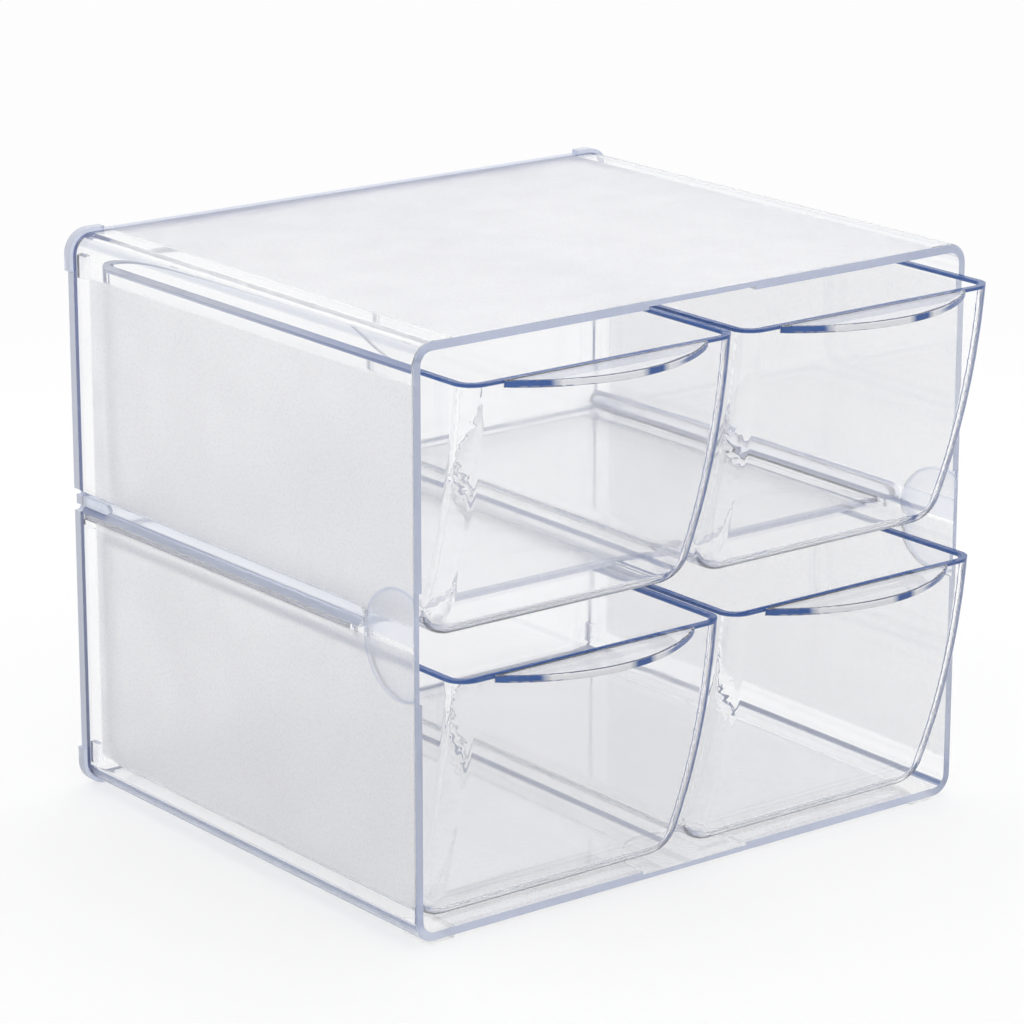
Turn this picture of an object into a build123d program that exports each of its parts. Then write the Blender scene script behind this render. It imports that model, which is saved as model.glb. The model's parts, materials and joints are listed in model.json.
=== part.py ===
from build123d import *
import os
from math import cos, radians, sin, sqrt

# A clear plastic box open at the front, with four pull-out drawers in two rows of two.
# Lengths are in millimetres. While a piece is drawn, y is the distance behind the
# housing's front edge and z the height above its underside. At the end every piece
# moves so that z = 0 is the plane of the feet and y = 0 the middle of the whole depth.

# ---- Housing ----
housing_width = 181.0
housing_height = 153.4
shell_depth = 150.1
wall = 2.4
corner_radius = 5.8
front_edge_round = 0.5

# ---- Back panel ----
back_thickness = 2.7
lug_proud = 1.1
lug_leg = 10.0
tab_thickness = 1.6
tab_length = 4.0
tab_height = 6.0
roof_tab_width = 30.0
roof_tab_spacing = 84.0
notch_corner_radius = 1.4
snap_arm_length = 13.5
snap_arm_thickness = 1.2
snap_head_radius = 1.15
snap_head_behind_tip = 5.7

# ---- Feet ----
foot_width = 9.0
foot_depth = 12.0
foot_inset_side = 4.8
foot_inset_front = 1.0
foot_corner_radius = 2.0

# ---- Pockets for joining clips, at the front of each wall ----
side_pocket_radius = 14.3
side_pocket_reach = 20.4
flat_pocket_radius = 17.5
flat_pocket_reach = 21.0
pocket_depth = 0.8

# ---- Shelf, and the grooved rail that holds it down ----
shelf_thickness = 2.2
shelf_setback = 28.0
shelf_above_middle = 0.5
shelf_corner_radius = 2.0
groove_half_mouth = 3.05
groove_half_floor = 1.45
groove_depth = 2.0
rail_height = 1.8
rail_lip_round = 0.7
groove_gap_to_pocket = 0.6
ledge_reach = 1.2
ledge_height = 1.5
ledge_stop_thickness = 1.6

# ---- Drawers ----
drawer_overhang = 12.1
upper_drawer_pull = 3.6
drawer_wall = 2.0
drawer_side_draft = 0.6
drawer_corner_radius = 5.75
drawer_bottom_radius = 8.75
front_arc_radius = 196.0
front_rim_tilt = 4.3
rim_round = 0.4

# ---- Pull lips ----
lip_chord = 63.0
lip_reach = 12.5
lip_end_height = 0.6
lip_thickness = 2.0
lip_edge_round = 0.6

# ---- Clearances ----
drawer_side_gap = 2.0
drawer_centre_gap = 2.0
drawer_floor_gap = 0.3
drawer_top_gap = 4.2
drawer_back_gap = 1.8
tab_gap = 0.15
shelf_gap = 0.15
snap_gap = 0.15

# ---- Derived sizes ----
half_width = housing_width / 2
half_inside = half_width - wall
roof_underside = housing_height - wall
front_reach = upper_drawer_pull + drawer_overhang + lip_reach
whole_depth = front_reach + shell_depth + back_thickness
front_edge_y = front_reach - whole_depth / 2
shelf_top = housing_height / 2 + shelf_above_middle
ledge_top = shelf_top - shelf_thickness
lower_drawer_z = wall + drawer_floor_gap
upper_drawer_z = shelf_top + drawer_floor_gap
drawer_width = half_inside - drawer_side_gap - drawer_centre_gap / 2
drawer_centre_x = (drawer_width + drawer_centre_gap) / 2
drawer_height = ledge_top - drawer_top_gap - lower_drawer_z
drawer_depth = shell_depth + drawer_overhang - drawer_back_gap
groove_z = shelf_top + groove_half_mouth
groove_start = side_pocket_reach + groove_gap_to_pocket
overlap = 0.5
tolerance = 0.01


# ---- Drawing helpers ----
def front_plane(y):
    """A plane facing the front, at a depth, whose own y runs up."""
    return Plane(origin=(0, y, 0), x_dir=(1, 0, 0), z_dir=(0, -1, 0))


def run_back(outline, y_start, y_end):
    """A solid with a front-view outline, running back between two depths."""
    return extrude(front_plane(y_start) * outline, amount=y_start - y_end)


def block(x_range, y_range, z_range):
    """A plain box between three pairs of limits."""
    sizes = [high - low for low, high in (x_range, y_range, z_range)]
    middle = [(high + low) / 2 for low, high in (x_range, y_range, z_range)]
    return Pos(*middle) * Box(*sizes)


def both_sides(solid):
    """A solid at the right, and its mirror image at the left."""
    return [solid, mirror(solid, about=Plane.YZ)]


def housing_outline(inset):
    """The housing seen from the front, with its walls drawn in by an inset."""
    width = housing_width - 2 * inset
    height = housing_height - 2 * inset
    return Pos(0, housing_height / 2) * RectangleRounded(width, height, corner_radius - inset)


# ---- Housing shell ----
def groove_shape(depth, y_start, y_end):
    """The long bevelled shape of the groove, with a round front end, lying on a side wall."""
    outline = Polygon(
        (0, -groove_half_mouth),
        (0, groove_half_mouth),
        (-depth, groove_half_floor),
        (-depth, -groove_half_floor),
        align=None,
    )
    run = run_back(outline, y_start + groove_half_mouth, y_end)
    end = Cone(groove_half_mouth, groove_half_floor, depth, align=(Align.CENTER, Align.CENTER, Align.MIN))
    return run + Pos(0, y_start + groove_half_mouth, 0) * Rot(0, -90, 0) * end


def side_rail():
    """The hollow of the groove pressed inwards, standing on the inner face of the right wall."""
    rail = groove_shape(rail_height + wall / 2, groove_start, shell_depth)
    return Pos(half_inside + wall / 2, 0, groove_z) * rail


def side_groove():
    """The groove cut in the outer face of the right wall."""
    groove = groove_shape(groove_depth, groove_start, shell_depth + overlap)
    return Pos(half_width, 0, groove_z) * groove


def clip_pocket(radius, reach):
    """A shallow tongue-shaped cutter, open at the front, lying flat at the origin."""
    centre = reach - radius
    tongue = Pos(0, centre) * Circle(radius)
    tongue += Pos(0, (centre - overlap) / 2) * Rectangle(2 * radius, centre + overlap)
    return extrude(tongue, amount=pocket_depth, both=True)


def clip_pockets():
    """The four pockets, each cut in a wall's inner face."""
    flat = clip_pocket(flat_pocket_radius, flat_pocket_reach)
    upright = Rot(0, 90, 0) * clip_pocket(side_pocket_radius, side_pocket_reach)
    side = Pos(half_inside, 0, housing_height / 2) * upright
    return [Pos(0, 0, wall) * flat, Pos(0, 0, roof_underside) * flat] + both_sides(side)


def shelf_ledge():
    """The ledge under the shelf's right edge, with the stop that the shelf slides up to."""
    inner_x = half_inside - ledge_reach
    stop_front = shelf_setback - shelf_gap - ledge_stop_thickness
    ledge = block(
        (inner_x, half_inside + overlap),
        (stop_front, shell_depth),
        (ledge_top - ledge_height, ledge_top),
    )
    stop = block(
        (inner_x, half_inside + overlap),
        (stop_front, shelf_setback - shelf_gap),
        (ledge_top - ledge_height, shelf_top),
    )
    return ledge + stop


def front_foot():
    """The pad under the shell's right front corner."""
    x_middle = half_width - foot_inset_side - foot_width / 2
    y_middle = foot_inset_front + foot_depth / 2
    pad = Pos(x_middle, y_middle) * RectangleRounded(foot_width, foot_depth, foot_corner_radius)
    return Pos(0, 0, -lug_proud) * extrude(pad, amount=lug_proud + wall / 2)


def soften_groove_lips(shell):
    """Round the two long lips where each groove meets the outer face."""
    lips = [
        edge
        for edge in shell.edges().filter_by(Axis.Y)
        if abs(abs(edge.center().X) - half_width) < tolerance
        and abs(abs(edge.center().Z - groove_z) - groove_half_mouth) < tolerance
    ]
    return fillet(lips, rail_lip_round)


def soften_front_edge(shell):
    """Round the outer edge of the shell's open front."""
    front = shell.faces().sort_by(Axis.Y)[0]
    return fillet(front.outer_wire().edges(), front_edge_round)


def make_housing_shell():
    shell = run_back(housing_outline(0), 0, shell_depth)
    shell -= run_back(housing_outline(wall), -overlap, shell_depth + overlap)
    shell = soften_front_edge(shell)
    shell -= clip_pockets()
    shell += both_sides(side_rail()) + both_sides(shelf_ledge())
    shell -= both_sides(side_groove())
    shell = soften_groove_lips(shell)
    return shell + both_sides(front_foot())


# ---- Back panel ----
def corner_lugs():
    """The raised pads that wrap round the four rear corners."""
    lugs = run_back(housing_outline(-lug_proud), shell_depth, shell_depth + back_thickness)
    y_range = (shell_depth - overlap, shell_depth + back_thickness + overlap)
    across = half_width - lug_leg
    everywhere = housing_width
    lugs -= block((-across, across), y_range, (-everywhere, 2 * everywhere))
    upright = (lug_leg, housing_height - lug_leg)
    return lugs - block((-everywhere, everywhere), y_range, upright)


def panel_notch():
    """The notch that carries the groove on through the panel's right edge."""
    outline = RectangleRounded(2 * groove_depth, 2 * groove_half_mouth, notch_corner_radius)
    notch = run_back(outline, shell_depth - overlap, shell_depth + back_thickness + overlap)
    return Pos(half_width, 0, groove_z) * notch


def corner_tabs():
    """Locating tabs inside the right wall, by the upper and the lower corner."""
    outer_x = half_inside - tab_gap
    x_range = (outer_x - tab_thickness, outer_x)
    y_range = (shell_depth - tab_length, shell_depth + overlap)
    lower = block(x_range, y_range, (corner_radius, corner_radius + tab_height))
    top = housing_height - corner_radius
    return [lower, block(x_range, y_range, (top - tab_height, top))]


def roof_tab():
    """A locating tab under the roof, right of the middle."""
    top = roof_underside - tab_gap
    x_middle = roof_tab_spacing / 2
    return block(
        (x_middle - roof_tab_width / 2, x_middle + roof_tab_width / 2),
        (shell_depth - tab_length, shell_depth + overlap),
        (top - tab_thickness, top),
    )


def snap_arm():
    """The pointed arm that lies in the right groove, with its round head."""
    half = groove_half_floor - snap_gap
    tip = shell_depth - snap_arm_length
    outline = Polygon(
        (tip, 0),
        (tip + half, -half),
        (shell_depth + overlap, -half),
        (shell_depth + overlap, half),
        (tip + half, half),
        align=None,
    )
    inner_x = half_width - groove_depth + snap_gap
    arm_plane = Plane(origin=(inner_x, 0, groove_z), x_dir=(0, 1, 0), z_dir=(1, 0, 0))
    head = Pos(tip + snap_head_behind_tip, 0) * Circle(snap_head_radius)
    arm = extrude(arm_plane * outline, amount=snap_arm_thickness)
    arm += extrude(arm_plane * head, amount=snap_arm_thickness + snap_gap)
    root = block(
        (half_inside, inner_x + snap_arm_thickness),
        (shell_depth, shell_depth + back_thickness),
        (groove_z - half, groove_z + half),
    )
    return arm + root


def make_back_panel():
    panel = run_back(housing_outline(0), shell_depth, shell_depth + back_thickness)
    panel += corner_lugs()
    panel -= both_sides(panel_notch())
    for tab in corner_tabs():
        panel += both_sides(tab)
    panel += both_sides(roof_tab())
    return panel + both_sides(snap_arm())


# ---- Shelf ----
def make_mid_shelf():
    front = shelf_setback
    rear = shell_depth - shelf_gap
    plate = Rectangle(2 * (half_inside - shelf_gap), rear - front)
    front_corners = plate.vertices().group_by(Axis.Y)[0]
    plate = Pos(0, (front + rear) / 2) * fillet(front_corners, shelf_corner_radius)
    return Pos(0, 0, ledge_top) * extrude(plate, amount=shelf_thickness)


# ---- Drawer, drawn with its bottom at z = 0 and its middle at x = 0 ----
def front_face_y(z, inset):
    """How far behind the housing's edge the curved front is, at a height."""
    tilt = radians(front_rim_tilt)
    centre_y = front_arc_radius * cos(tilt) - drawer_overhang
    centre_z = front_arc_radius * sin(tilt) + drawer_height
    return centre_y - sqrt((front_arc_radius - inset) ** 2 - (centre_z - z) ** 2)


def draft_at(z):
    """How much a face leans in at a height, from nothing at the rim."""
    return drawer_side_draft * (1 - z / drawer_height)


def drawer_side_view(inset, floor, top):
    """The drawer seen from its side, between two heights, drawn in by an inset."""
    back_y = drawer_depth - drawer_overhang - inset
    middle = (floor + top) / 2
    rim_front = (front_face_y(top, inset), top)
    rim_back = (back_y - draft_at(top), top)
    floor_front = (front_face_y(floor, inset), floor)
    floor_back = (back_y - draft_at(floor), floor)
    curve = ThreePointArc(rim_front, (front_face_y(middle, inset), middle), floor_front)
    rest = Polyline(floor_front, floor_back, rim_back, rim_front)
    side_plane = Plane(origin=(0, 0, 0), x_dir=(0, 1, 0), z_dir=(1, 0, 0))
    return side_plane * make_face(Curve() + [curve, rest])


def drawer_front_view(inset, floor, top):
    """The drawer seen from the front, with rounded bottom corners."""
    half_floor = drawer_width / 2 - inset - draft_at(floor)
    half_top = drawer_width / 2 - inset - draft_at(top)
    outline = Polygon(
        (-half_floor, floor),
        (half_floor, floor),
        (half_top, top),
        (-half_top, top),
        align=None,
    )
    bottom_corners = outline.vertices().group_by(Axis.Y)[0]
    return fillet(bottom_corners, drawer_bottom_radius - inset)


def drawer_form(inset, floor, top):
    """The drawer as a solid lump, drawn in by an inset, with rounded corners."""
    side_view = extrude(drawer_side_view(inset, floor, top), amount=drawer_width / 2, both=True)
    front_view = run_back(drawer_front_view(inset, floor, top), -drawer_depth, drawer_depth)
    lump = side_view & front_view
    ends = lump.faces().sort_by(Axis.Y)
    rounded = [
        edge
        for end in (ends[0], ends[-1])
        for edge in end.edges()
        if edge.center().Z < top - tolerance
    ]
    return fillet(rounded, drawer_corner_radius - inset)


def pull_lip():
    """The flat crescent at the rim that a finger pulls on."""
    rise = lip_reach - lip_end_height
    root_y = -drawer_overhang
    end_y = root_y - lip_end_height
    inside_y = root_y + drawer_wall / 2
    half = lip_chord / 2
    curve = ThreePointArc((-half, end_y), (0, end_y - rise), (half, end_y))
    rest = Polyline((half, end_y), (half, inside_y), (-half, inside_y), (-half, end_y))
    crescent = extrude(make_face(Curve() + [curve, rest]), amount=lip_thickness)
    outer_edges = crescent.edges().filter_by(GeomType.CIRCLE)
    return Pos(0, 0, drawer_height - lip_thickness) * fillet(outer_edges, lip_edge_round)


def soften_rim(tray):
    """Round the inner edge of the rim."""
    rim = tray.faces().filter_by(Axis.Z).sort_by(Axis.Z)[-1]
    return fillet(rim.inner_wires()[0].edges(), rim_round)


def make_drawer():
    tray = drawer_form(0, 0, drawer_height)
    tray -= drawer_form(drawer_wall, drawer_wall, drawer_height + overlap)
    tray += pull_lip()
    return soften_rim(tray)


# ---- Assembly ----
drawer = make_drawer()
pieces = {
    "housing_shell": make_housing_shell(),
    "back_panel": make_back_panel(),
    "mid_shelf": make_mid_shelf(),
    "lower_left_drawer": Pos(-drawer_centre_x, 0, lower_drawer_z) * drawer,
    "lower_right_drawer": Pos(drawer_centre_x, 0, lower_drawer_z) * drawer,
    "upper_left_drawer": Pos(-drawer_centre_x, -upper_drawer_pull, upper_drawer_z) * drawer,
    "upper_right_drawer": Pos(drawer_centre_x, -upper_drawer_pull, upper_drawer_z) * drawer,
}

os.makedirs("parts", exist_ok=True)
for node, piece in pieces.items():
    placed = Pos(0, front_edge_y, lug_proud) * piece
    export_step(placed.solid(), f"parts/{node}.step")
    box = placed.bounding_box()
    print(node, len(placed.solids()), round(placed.volume), box.min, box.max)
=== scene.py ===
# %% [markdown]
# # A clear box with four pull-out drawers
# The real object is moulded plastic: a frosted sleeve with a rear panel and a shelf, and
# four crystal-clear drawers whose curved fronts lean out of it. Every solid comes from
# the CAD model. This lesson gives the solids smooth shading and see-through plastics, and
# lights them the way a catalogue photograph is lit.

import json
import math

import bpy
from mathutils import Matrix, Vector


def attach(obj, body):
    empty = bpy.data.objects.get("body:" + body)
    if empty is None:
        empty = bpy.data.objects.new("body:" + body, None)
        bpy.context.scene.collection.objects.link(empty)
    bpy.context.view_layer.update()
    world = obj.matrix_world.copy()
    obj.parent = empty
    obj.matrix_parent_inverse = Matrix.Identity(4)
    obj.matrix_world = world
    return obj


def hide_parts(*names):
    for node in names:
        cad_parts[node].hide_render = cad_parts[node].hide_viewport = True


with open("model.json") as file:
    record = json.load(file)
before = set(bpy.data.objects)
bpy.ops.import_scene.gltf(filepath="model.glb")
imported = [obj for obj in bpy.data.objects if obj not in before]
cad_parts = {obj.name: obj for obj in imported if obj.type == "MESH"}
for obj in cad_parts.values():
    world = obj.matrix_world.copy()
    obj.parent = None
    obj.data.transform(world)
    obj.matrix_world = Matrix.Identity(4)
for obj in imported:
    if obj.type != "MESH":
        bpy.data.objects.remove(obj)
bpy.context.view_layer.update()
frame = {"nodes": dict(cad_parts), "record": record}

# %% [markdown]
# ## The camera
# The photograph looks down on the box's left front corner from about a metre away. Its
# place was found by fitting the box's corners to the picture, so it is written here as a
# point, two angles and a small roll.

# %% Place the camera
MM = 0.001
CAMERA_PLACE = Vector((-679.267, -856.410, 403.941)) * MM
CAMERA_TURN = math.radians(-37.929)
CAMERA_LOOKS_DOWN = math.radians(16.396)
CAMERA_ROLL = math.radians(0.038)
LENS_MM = 150.92

camera_data = bpy.data.cameras.new("camera")
camera_data.sensor_width = 36
camera_data.lens = LENS_MM
camera_data.clip_start = 0.01
camera = bpy.data.objects.new("camera", camera_data)
bpy.context.scene.collection.objects.link(camera)
camera.matrix_world = (
    Matrix.Translation(CAMERA_PLACE)
    @ Matrix.Rotation(CAMERA_TURN, 4, "Z")
    @ Matrix.Rotation(math.pi / 2 - CAMERA_LOOKS_DOWN, 4, "X")
    @ Matrix.Rotation(CAMERA_ROLL, 4, "Z")
)
bpy.context.scene.camera = camera
print("camera at", [round(v, 3) for v in camera.location])

# %% [markdown]
# ## Node helpers
# Each finish below is a small network of shader nodes. These helpers add a node with its
# values, join two sockets, and build the soft-edged bands that say where on the object a
# finish starts and ends, so that the networks read as short lists.

# %% Node helpers
def new_material(name):
    """Make an empty node material."""
    material = bpy.data.materials.new(name)
    material.use_nodes = True
    material.node_tree.nodes.clear()
    return material, material.node_tree


def add(tree, kind, **values):
    """Add a shader node. A value names a setting of the node or one of its sockets."""
    node = tree.nodes.new("ShaderNode" + kind)
    for name, value in values.items():
        if hasattr(node, name):
            setattr(node, name, value)
        else:
            node.inputs[name.replace("_", " ")].default_value = value
    return node


def join(tree, source, target):
    """Link an output socket to an input socket."""
    tree.links.new(source, target)


def maths(tree, operation, a, b=None):
    """Add a maths node. A number sets its socket and anything else is linked to it."""
    node = add(tree, "Math", operation=operation)
    for socket, value in zip(node.inputs, (a, b)):
        if isinstance(value, (int, float)):
            socket.default_value = value
        elif value is not None:
            join(tree, value, socket)
    return node.outputs[0]


def ramp(tree, value, start, end, low=0.0, high=1.0):
    """Turn a value into a smooth step between two places."""
    node = add(tree, "MapRange", interpolation_type="SMOOTHSTEP")
    join(tree, value, node.inputs["Value"])
    limits = {"From Min": start, "From Max": end, "To Min": low, "To Max": high}
    for name, number in limits.items():
        node.inputs[name].default_value = number
    return node.outputs["Result"]


def beyond(tree, value, limit, edge=0.1 * MM):
    """One above a limit and nothing below it, with a soft step."""
    return ramp(tree, value, limit - edge, limit + edge)


def short_of(tree, value, limit, edge=0.1 * MM):
    """One below a limit and nothing above it, with a soft step."""
    return ramp(tree, value, limit - edge, limit + edge, 1.0, 0.0)


def product(tree, first, *others):
    """Multiply masks, so that the result is one only where all of them are."""
    for other in others:
        first = maths(tree, "MULTIPLY", first, other)
    return first


def highest(tree, first, *others):
    """The highest of several masks, so that the result is one where any of them is."""
    for other in others:
        first = maths(tree, "MAXIMUM", first, other)
    return first


def band(tree, value, start, end, edge=0.1 * MM):
    """One between two places and nothing outside, with soft steps."""
    return product(tree, beyond(tree, value, start, edge), short_of(tree, value, end, edge))


def turned(tree, part_of_normal, start=0.5, end=0.8):
    """One on the faces that look along an axis, either way."""
    return ramp(tree, maths(tree, "ABSOLUTE", part_of_normal), start, end)


def across(tree, part_of_normal, start, end):
    """One on the faces that look across an axis."""
    return ramp(tree, maths(tree, "ABSOLUTE", part_of_normal), start, end, 1.0, 0.0)


def distance(tree, value, middle):
    """How far a coordinate is from a middle, on either side."""
    return maths(tree, "ABSOLUTE", maths(tree, "SUBTRACT", value, middle))


def tinted(tree, colour, tints):
    """Mix tints into a colour, one after another, each where its mask is one."""
    for mask, tint in tints:
        mix = add(tree, "Mix", data_type="RGBA")
        join(tree, mask, mix.inputs[0])
        if isinstance(colour, tuple):
            mix.inputs[6].default_value = colour
        else:
            join(tree, colour, mix.inputs[6])
        mix.inputs[7].default_value = tint
        colour = mix.outputs[2]
    return colour


def place_on_object(tree):
    """The shaded point, and the x, y and z of it and of its face, in the object's frame."""
    coordinates = add(tree, "TexCoord")
    point = add(tree, "SeparateXYZ")
    join(tree, coordinates.outputs["Object"], point.inputs[0])
    facing = add(tree, "SeparateXYZ")
    join(tree, coordinates.outputs["Normal"], facing.inputs[0])
    return coordinates.outputs["Object"], point.outputs, facing.outputs


def noise(tree, place, scale, detail=2.0):
    """Add a noise texture and give its grey output."""
    node = add(tree, "TexNoise", Scale=scale, Detail=detail)
    join(tree, place, node.inputs["Vector"])
    return node.outputs["Fac"]


def see_through(tree, plastic, lamp_share, density):
    """Let lamps shine through the plastic, tint its inside, and connect it to the output."""
    open_to_lamps = add(tree, "BsdfTransparent", Color=lamp_share)
    path = add(tree, "LightPath")
    mix = add(tree, "MixShader")
    join(tree, path.outputs["Is Shadow Ray"], mix.inputs[0])
    join(tree, plastic.outputs[0], mix.inputs[1])
    join(tree, open_to_lamps.outputs[0], mix.inputs[2])
    inside = add(tree, "VolumeAbsorption", Density=density, Color=INSIDE_TINT)
    out = add(tree, "OutputMaterial")
    join(tree, mix.outputs[0], out.inputs["Surface"])
    join(tree, inside.outputs[0], out.inputs["Volume"])


# %% [markdown]
# ## The studio
# The box stands on white paper in a white room. The room looks plain white to the eye, in
# reflections and through the plastic, and gives matt faces a little less light. Near the
# box the paper is half matt and half glow, so that it keeps the box's soft shadow.
# Further out it fades into the white of the room. Two large lamps stand behind the box on
# the right and in front of it on the left.

# %% World
EYE_WHITE = 0.985
ROOM_LIGHT = 0.82
THROUGH_WHITE = 1.0
WHITE = (1.0, 1.0, 1.0, 1.0)


def white_room():
    world = bpy.data.worlds.new("studio")
    world.use_nodes = True
    tree = world.node_tree
    tree.nodes.clear()
    path = add(tree, "LightPath")
    seen = highest(tree, path.outputs["Is Camera Ray"], path.outputs["Is Glossy Ray"])
    through = product(tree, path.outputs["Is Transmission Ray"], THROUGH_WHITE)
    light = highest(tree, ramp(tree, seen, 0, 1, ROOM_LIGHT, EYE_WHITE), through)
    back = add(tree, "Background", Color=WHITE)
    join(tree, light, back.inputs["Strength"])
    out = add(tree, "OutputWorld")
    join(tree, back.outputs[0], out.inputs["Surface"])
    bpy.context.scene.world = world


white_room()
bpy.context.scene.view_settings.view_transform = "Standard"
print("room light", ROOM_LIGHT)

# %% Paper
PAPER_GREY = (0.5, 0.5, 0.5, 1.0)
PAPER_GLOW = 0.465
PAPER_NEAR, PAPER_FAR = 0.25, 0.6
PAPER_SIZE = 12


def white_paper():
    material, tree = new_material("white_paper")
    paper = add(tree, "BsdfDiffuse", Color=PAPER_GREY)
    glow = add(tree, "Emission")
    path = add(tree, "LightPath")
    strength = ramp(tree, path.outputs["Is Diffuse Ray"], 0, 1, PAPER_GLOW, 0)
    join(tree, strength, glow.inputs["Strength"])
    lit = add(tree, "AddShader")
    join(tree, glow.outputs[0], lit.inputs[0])
    join(tree, paper.outputs[0], lit.inputs[1])
    coordinates = add(tree, "TexCoord")
    away = add(tree, "VectorMath", operation="LENGTH")
    join(tree, coordinates.outputs["Object"], away.inputs[0])
    plain = add(tree, "Emission", Strength=EYE_WHITE)
    whole = add(tree, "MixShader")
    join(tree, ramp(tree, away.outputs["Value"], PAPER_NEAR, PAPER_FAR), whole.inputs[0])
    join(tree, lit.outputs[0], whole.inputs[1])
    join(tree, plain.outputs[0], whole.inputs[2])
    out = add(tree, "OutputMaterial")
    join(tree, whole.outputs[0], out.inputs["Surface"])
    return material


bpy.ops.mesh.primitive_plane_add(size=PAPER_SIZE, location=(0, 0, 0))
floor = bpy.context.object
floor.name = "paper"
floor.data.materials.append(white_paper())

# %% Lamps
def soft_lamp(name, place, aim, size, watts):
    data = bpy.data.lights.new(name, "AREA")
    data.shape = "RECTANGLE"
    data.size, data.size_y = size
    data.energy = watts
    lamp = bpy.data.objects.new(name, data)
    lamp.location = place
    lamp.rotation_euler = (Vector(aim) - Vector(place)).to_track_quat("-Z", "Y").to_euler()
    bpy.context.scene.collection.objects.link(lamp)
    print(name, watts, "W")


LAMP_SIZE = (0.9, 0.9)
soft_lamp("overhead", place=(0.6, 0.55, 1.45), aim=(0, 0, 0), size=LAMP_SIZE, watts=7)
soft_lamp("left", place=(-1.3, -0.6, 0.9), aim=(0, 0, 0.08), size=LAMP_SIZE, watts=3.5)

# %% [markdown]
# ## Crystal plastic for the drawers
# The drawers are polished. Light that travels along inside a wall comes out blue where the
# wall ends or bends, partly from the plastic's own tint and partly as light and shade. The
# paths inside the walls are too long to trace, so the blue is painted into the colour as a
# thin layer instead: painted blue shade on the rim, the rounded foot and the upright corners
# seen edge-on, and painted blue reflections on two stretches of the lip's edge. The rest of
# the lip's edge gets a painted white highlight. Faint ripples from moulding bend the
# reflections.

# %% Crystal plastic
PLASTIC_IOR = 1.49
INSIDE_TINT = (0.3, 0.42, 1.0, 1.0)
CRYSTAL_DENSITY = 2.0
CRYSTAL_CLEAR = 0.995
CRYSTAL_LAMP_SHARE = (0.985, 0.985, 0.985, 1.0)
# Painted blue shade for the rims, corners and foot, standing in for light guided inside the
# walls, with a little of the plastic's own tint.
PAINTED_BLUE_SHADE = (0.03, 0.095, 0.32, 1.0)
PAINTED_SHADE_HAZE = 0.92
RIM_SHADE_DEPTH, LIP_ROOT_SHADE_DEPTH = 0.9 * MM, 1.5 * MM
LIP_ROOT_FADE = (12 * MM, 30 * MM)
RIM_FADE = (-60 * MM, 60 * MM)
REAR_RIM_SHADE_SHARE = 0.6
# Two stretches of the lip's edge that carry painted blue reflections.
LIP_PAINTED_REFLECTIONS = ((-35 * MM, -21.5 * MM), (2.2 * MM, 9 * MM))
LIP_REFLECTION_EDGE = 1.5 * MM
# Share of the painted white highlight on the lip's edge.
LIP_PAINTED_HIGHLIGHT = 0.75
LIP_THICKNESS = 2.0 * MM
# How much painted blue shade the edge-on upright corners and the rounded foot get.
CORNER_PAINTED_SHADE, FOOT_PAINTED_SHADE = 0.95, 0.5
WEAR_SCALE, WEAR_ROUGHNESS = 55, 0.045
RIPPLE_SCALE, RIPPLE_HEIGHT = 38, 0.4 * MM
DRAWER_MIDDLE = 43.55 * MM
ROWS = ((71.9 * MM, -74.4 * MM), (146.7 * MM, -78.0 * MM))


def rim_and_lip(tree, point, facing, rim_height, rim_front):
    """Where one row gets painted blue shade and reflections, and a painted lip highlight."""
    middle = maths(tree, "MULTIPLY", maths(tree, "SIGN", point["X"]), DRAWER_MIDDLE)
    along = maths(tree, "SUBTRACT", point["X"], middle)
    off_middle = maths(tree, "ABSOLUTE", along)
    depth = ramp(tree, off_middle, *LIP_ROOT_FADE, LIP_ROOT_SHADE_DEPTH, RIM_SHADE_DEPTH)
    below = maths(tree, "SUBTRACT", rim_height, point["Z"])
    top = short_of(tree, maths(tree, "SUBTRACT", below, depth), 0, 0.15 * MM)
    over = beyond(tree, below, -1.5 * MM, 0.5 * MM)
    behind = ramp(tree, point["Y"], rim_front - 0.2 * MM, rim_front + 0.05 * MM)
    fade = ramp(tree, point["Y"], *RIM_FADE, 1, REAR_RIM_SHADE_SHARE)
    rim = product(tree, top, over, behind, fade)
    level = band(tree, point["Z"], rim_height - LIP_THICKNESS, rim_height, 0.2 * MM)
    ahead = maths(tree, "SUBTRACT", 1.0, behind)
    lip = product(tree, level, ahead, across(tree, facing["Z"], 0.6, 0.8))
    # Painted blue reflections on two stretches of the lip's edge, a painted white highlight on
    # the rest.
    stretches = [band(tree, along, *ends, LIP_REFLECTION_EDGE) for ends in LIP_PAINTED_REFLECTIONS]
    stretches = maths(tree, "ADD", *stretches)
    white = product(tree, lip, maths(tree, "SUBTRACT", 1.0, stretches))
    return highest(tree, rim, product(tree, lip, stretches)), white


def upright_corners(tree, facing):
    """One on the upright rounded corners where they are seen edge-on."""
    bend = maths(tree, "ABSOLUTE", product(tree, facing["X"], facing["Y"]))
    grazing = add(tree, "LayerWeight", Blend=0.5).outputs["Facing"]
    return product(tree, ramp(tree, bend, 0.2, 0.36), ramp(tree, grazing, 0.32, 0.55))


def rounded_foot(tree, facing):
    """One along the middle of the rounding between a drawer's walls and its floor."""
    squared = product(tree, facing["Z"], facing["Z"])
    bend = product(tree, squared, maths(tree, "SUBTRACT", 1.0, squared))
    return ramp(tree, maths(tree, "SQRT", bend), 0.485, 0.4995)


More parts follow.
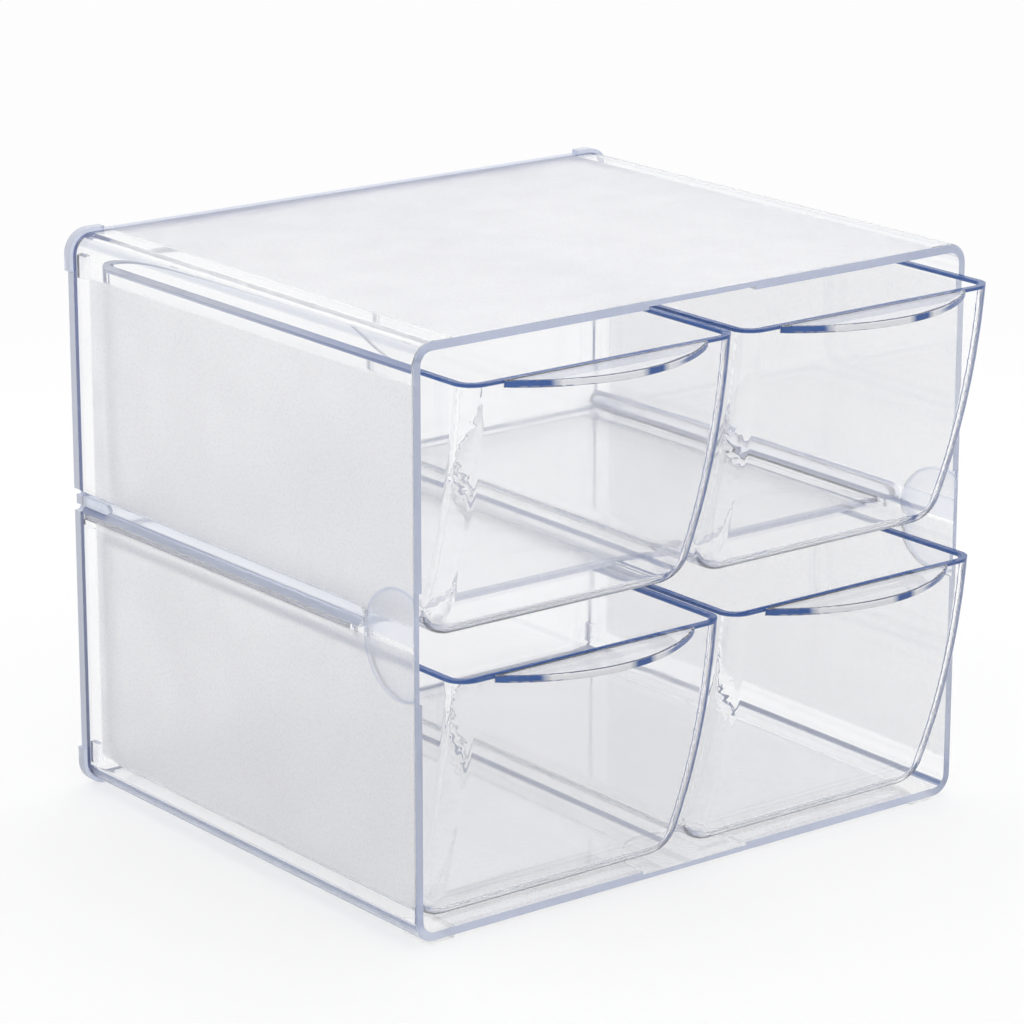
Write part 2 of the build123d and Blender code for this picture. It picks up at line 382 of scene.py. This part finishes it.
def crystal():
    material, tree = new_material("crystal_clear_plastic")
    place, point, facing = place_on_object(tree)
    plastic = add(tree, "BsdfPrincipled", IOR=PLASTIC_IOR)
    (low_shade, low_highlight), (high_shade, high_highlight) = [
        rim_and_lip(tree, point, facing, *row) for row in ROWS
    ]
    # Painted blue shade on the edge-on corners and the rounded foot, joined with the rims'
    # painted shade and the lip's painted reflections.
    corners = product(tree, upright_corners(tree, facing), CORNER_PAINTED_SHADE)
    foot = product(tree, rounded_foot(tree, facing), FOOT_PAINTED_SHADE)
    blue = highest(tree, low_shade, high_shade, corners, foot)
    join(tree, tinted(tree, WHITE, [(blue, PAINTED_BLUE_SHADE)]), plastic.inputs["Base Color"])
    # Painted white highlight along the lip's edge, outside its painted reflections.
    white = product(tree, highest(tree, low_highlight, high_highlight), LIP_PAINTED_HIGHLIGHT)
    clear = ramp(tree, blue, 0, 1, CRYSTAL_CLEAR, 1 - PAINTED_SHADE_HAZE)
    join(tree, maths(tree, "SUBTRACT", clear, white), plastic.inputs["Transmission Weight"])
    wear = ramp(tree, noise(tree, place, WEAR_SCALE), 0.35, 0.7, 0.0, WEAR_ROUGHNESS)
    join(tree, wear, plastic.inputs["Roughness"])
    ripple = add(tree, "Bump", Strength=0.03, Distance=RIPPLE_HEIGHT)
    join(tree, noise(tree, place, RIPPLE_SCALE, 1.0), ripple.inputs["Height"])
    join(tree, ripple.outputs[0], plastic.inputs["Normal"])
    see_through(tree, plastic, CRYSTAL_LAMP_SHARE, CRYSTAL_DENSITY)
    return material


# %% [markdown]
# ## Frosted plastic for the sleeve
# The sleeve's broad faces have a fine matt grain on the outside, and a clear polished
# border runs round each one. The grain dulls the colour and scatters light, and a second,
# larger noise varies the roughness. The shelf has a share of the same frost. The open
# edges, the rounded long corners, the grooves, the outlines of the clip pockets and the
# rear panel's edge are tinted blue, each by its place. That blue is painted shade, partly
# the plastic's own tint on the open and panel edges, and the rounded corners get more of
# it low down than at the top.

# %% Frosted plastic
FROST_SIDE_ROWS = ((11.1 * MM, 77.1 * MM), (83.5 * MM, 144.3 * MM))
FROST_REAR = 80.2 * MM
FROST_HALF_ROOF = 78.5 * MM
FROST_EDGE = 0.7 * MM
FROST_WHITE = (0.99, 0.99, 0.99, 1.0)
FROST_GREY = (0.88, 0.88, 0.93, 1.0)
FROST_HAZE = (0.12, 0.28)
FROST_ROUGHNESS = (0.38, 0.46)
FROST_CLEAR, FROST_DENSITY = 0.99, 2.4
FROST_LAMP_SHARE = (0.88, 0.88, 0.88, 1.0)
SHELF_FROST = 0.4
GRAIN_SCALE, CLOUD_SCALE = 1500, 60
GRAIN_HEIGHT = 0.08 * MM
MIDDLE_HEIGHT = 77.8 * MM
OUTER_SIDE, INNER_SIDE = 90.5 * MM, 88.0 * MM
OUTER_LEVEL, INNER_LEVEL = 76.7 * MM, 74.2 * MM
SHELF_HALF = 1.2 * MM
SLEEVE_FRONT, SLEEVE_REAR = -62.3 * MM, 87.8 * MM
SHELF_FRONT, SHELF_SIDE = -34.3 * MM, 86.2 * MM
# Painted blue shade on the open edges and the rear panel's edge, with some of the plastic's own
# edge tint.
EDGE_PAINTED_SHADE, EDGE_SHADE_HAZE = (0.60, 0.66, 0.84, 1.0), 0.5
PANEL_PAINTED_SHADE, PANEL_SHADE_HAZE = (0.70, 0.74, 0.86, 1.0), 0.75
# Painted blue shade along the rounded long corners.
BEND_PAINTED_SHADE, BEND_SHADE_HAZE = (0.30, 0.37, 0.56, 1.0), 0.6
BEND_SIDE = 86.2 * MM
BEND_FADE, ROOF_BEND_SHARE = (10 * MM, 140 * MM), 0.3
# Painted blue shade round the clip pockets' recesses.
POCKET_PAINTED_SHADE, POCKET_SHADE_HAZE = (0.66, 0.71, 0.84, 1.0), 0.3
POCKET_PLACE, POCKET_SOFT_SHARE = (-56.2 * MM, 77.8 * MM), 0.3
POCKET_RADIUS, POCKET_SIDE = 14.3 * MM, 88.55 * MM
# Painted blue shade on the faces of the side walls' grooves.
GROOVE_PAINTED_SHADE, GROOVE_SHADE_HAZE = (0.86, 0.89, 0.96, 1.0), 0.32
GROOVE_ROWS = (78.25 * MM, 84.45 * MM)
GROOVE_SIDES = (88.3 * MM, 90.2 * MM)


def frost_mask(tree, point, facing):
    """One where the sleeve's outside is matt, a share on the shelf, nothing on clear borders."""
    aside = maths(tree, "ABSOLUTE", point["X"])
    rows = [band(tree, point["Z"], *row, FROST_EDGE) for row in FROST_SIDE_ROWS]
    ahead = short_of(tree, point["Y"], FROST_REAR, FROST_EDGE)
    outside = beyond(tree, aside, OUTER_SIDE - 0.4 * MM, 0.2 * MM)
    side = product(tree, highest(tree, *rows), ahead, outside, turned(tree, facing["X"]))
    off_middle = distance(tree, point["Z"], MIDDLE_HEIGHT)
    roof = beyond(tree, off_middle, OUTER_LEVEL - 0.4 * MM, 0.2 * MM)
    shelf = product(tree, short_of(tree, off_middle, SHELF_HALF, 0.2 * MM), SHELF_FROST)
    within = short_of(tree, aside, FROST_HALF_ROOF, FROST_EDGE)
    level = product(tree, highest(tree, roof, shelf), within, turned(tree, facing["Z"]))
    return highest(tree, side, level)


def edge_mask(tree, point, facing):
    """One on the sleeve's two open edges and on the shelf's front edge."""
    aside = maths(tree, "ABSOLUTE", point["X"])
    sleeve = short_of(tree, point["Y"], SLEEVE_FRONT + 0.65 * MM, 0.15 * MM)
    shelf = band(tree, point["Y"], SHELF_FRONT, SHELF_FRONT + 2 * MM, 0.2 * MM)
    shelf = product(tree, shelf, short_of(tree, aside, SHELF_SIDE, 0.2 * MM))
    forward = ramp(tree, facing["Y"], -0.9, -0.6, 1, 0)
    front = product(tree, highest(tree, sleeve, shelf), forward)
    off_middle = distance(tree, point["Z"], MIDDLE_HEIGHT)
    wall = highest(tree, beyond(tree, aside, INNER_SIDE), beyond(tree, off_middle, INNER_LEVEL))
    back = band(tree, point["Y"], SLEEVE_REAR - 0.4 * MM, SLEEVE_REAR + 0.4 * MM)
    back = product(tree, back, wall, turned(tree, facing["Y"], 0.6, 0.9))
    return highest(tree, front, back)


def pocket_mask(tree, point, facing):
    """One on the outline of the side walls' clip pockets, fading towards their middle."""
    offsets = [maths(tree, "SUBTRACT", point[axis], at) for axis, at in zip("YZ", POCKET_PLACE)]
    squares = [maths(tree, "MULTIPLY", offset, offset) for offset in offsets]
    reach = maths(tree, "SQRT", maths(tree, "ADD", *squares))
    soft = ramp(tree, reach, POCKET_RADIUS - 9 * MM, POCKET_RADIUS, 0, POCKET_SOFT_SHARE)
    sharp = ramp(tree, reach, POCKET_RADIUS - 1 * MM, POCKET_RADIUS)
    inside = short_of(tree, reach, POCKET_RADIUS + 0.3 * MM, 0.3 * MM)
    wall = beyond(tree, maths(tree, "ABSOLUTE", point["X"]), POCKET_SIDE, 0.25 * MM)
    return product(tree, highest(tree, soft, sharp), inside, wall, turned(tree, facing["X"]))


def groove_mask(tree, point):
    """One on the faces of the side walls' grooves."""
    aside = maths(tree, "ABSOLUTE", point["X"])
    rows = band(tree, point["Z"], *GROOVE_ROWS)
    ahead = short_of(tree, point["Y"], SLEEVE_REAR - 0.15 * MM, 0.05 * MM)
    return product(tree, rows, band(tree, aside, *GROOVE_SIDES), ahead)


def bend_mask(tree, point, facing):
    """One along the sleeve's rounded lower corners, and a share along the upper ones."""
    bend = maths(tree, "ABSOLUTE", product(tree, facing["X"], facing["Z"]))
    bend = ramp(tree, bend, 0.43, 0.49)
    aside = beyond(tree, maths(tree, "ABSOLUTE", point["X"]), BEND_SIDE, 0.2 * MM)
    # The painted shade is fullest low down and fades to a share towards the roof.
    share = ramp(tree, point["Z"], *BEND_FADE, 1, ROOF_BEND_SHARE)
    return product(tree, bend, aside, share)


def frosted():
    material, tree = new_material("frosted_clear_plastic")
    place, point, facing = place_on_object(tree)
    plastic = add(tree, "BsdfPrincipled", IOR=PLASTIC_IOR)
    frost = frost_mask(tree, point, facing)
    panel = beyond(tree, point["Y"], SLEEVE_REAR, 0.2 * MM)
    panel = product(tree, panel, across(tree, facing["Y"], 0.3, 0.6))
    grain = noise(tree, place, GRAIN_SCALE, 3.0)
    # Painted blue shade on the grooves, rounded corners, open edges, rear panel edge and pocket
    # outlines.
    tints = (
        (groove_mask(tree, point), GROOVE_PAINTED_SHADE, GROOVE_SHADE_HAZE),
        (bend_mask(tree, point, facing), BEND_PAINTED_SHADE, BEND_SHADE_HAZE),
        (edge_mask(tree, point, facing), EDGE_PAINTED_SHADE, EDGE_SHADE_HAZE),
        (panel, PANEL_PAINTED_SHADE, PANEL_SHADE_HAZE),
        (pocket_mask(tree, point, facing), POCKET_PAINTED_SHADE, POCKET_SHADE_HAZE),
    )
    dull = product(tree, frost, ramp(tree, grain, 0.44, 0.72))
    colours = [(dull, FROST_GREY)] + [(mask, colour) for mask, colour, _ in tints]
    join(tree, tinted(tree, FROST_WHITE, colours), plastic.inputs["Base Color"])
    haze = product(tree, frost, ramp(tree, grain, 0.3, 0.7, *FROST_HAZE))
    haze = highest(tree, haze, *[product(tree, mask, share) for mask, _, share in tints])
    join(tree, maths(tree, "SUBTRACT", FROST_CLEAR, haze), plastic.inputs["Transmission Weight"])
    cloud = noise(tree, place, CLOUD_SCALE, 3.0)
    matt = product(tree, frost, ramp(tree, cloud, 0.3, 0.7, *FROST_ROUGHNESS))
    join(tree, maths(tree, "ADD", matt, 0.02), plastic.inputs["Roughness"])
    bump = add(tree, "Bump", Strength=0.8, Distance=GRAIN_HEIGHT)
    join(tree, product(tree, grain, frost), bump.inputs["Height"])
    join(tree, bump.outputs[0], plastic.inputs["Normal"])
    see_through(tree, plastic, FROST_LAMP_SHARE, FROST_DENSITY)
    return material


CRYSTAL = crystal()
FROSTED = frosted()
print("finishes:", CRYSTAL.name, FROSTED.name)

# %% [markdown]
# ## Finishing the solids
# A CAD node arrives as loose triangles. Each one is copied and merged, and its curved
# faces are shaded smooth while the flat faces stay flat. The copy then stands in for the
# node, moves with the node's body and takes the finish of the node's material slot.

# %% Finish the solids
MERGE_DISTANCE = 0.001 * MM
SMOOTH_ANGLE = math.radians(28)


def smooth_copy(name, material):
    source = frame["nodes"][name]
    bpy.ops.object.select_all(action="DESELECT")
    copy = bpy.data.objects.new(name + "_finished", source.data.copy())
    bpy.context.scene.collection.objects.link(copy)
    copy.data.materials.clear()
    copy.data.materials.append(material)
    bpy.context.view_layer.objects.active = copy
    copy.select_set(True)
    bpy.ops.object.mode_set(mode="EDIT")
    bpy.ops.mesh.select_all(action="SELECT")
    bpy.ops.mesh.remove_doubles(threshold=MERGE_DISTANCE)
    bpy.ops.object.mode_set(mode="OBJECT")
    bpy.ops.mesh.customdata_custom_splitnormals_clear()
    bpy.ops.object.shade_smooth_by_angle(angle=SMOOTH_ANGLE)
    weigh = copy.modifiers.new("weigh", "WEIGHTED_NORMAL")
    weigh.keep_sharp = True
    weigh.mode = "FACE_AREA_WITH_ANGLE"
    bpy.ops.object.modifier_apply(modifier="weigh")
    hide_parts(name)
    return copy


BODIES = frame["record"]["behaviour"]["bodies"]
BODY_OF = {node: body for body, nodes in BODIES.items() for node in nodes}
SLOT_OF = {part["node"]: part["material_slot"] for part in frame["record"]["subparts"]}
for node, slot in SLOT_OF.items():
    piece = smooth_copy(node, CRYSTAL if slot == "crystal_clear" else FROSTED)
    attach(piece, BODY_OF[node])
    print(node, len(piece.data.polygons), "faces")

# %% [markdown]
# ## Light through many walls
# A ray can cross a dozen walls before it leaves the box, so more bounces are allowed.

# %% Light bounces
BOUNCES = 24
bpy.context.scene.cycles.max_bounces = BOUNCES
bpy.context.scene.cycles.transmission_bounces = BOUNCES
bpy.context.scene.cycles.glossy_bounces = BOUNCES
bpy.context.scene.cycles.transparent_max_bounces = BOUNCES
print("bounces", BOUNCES)
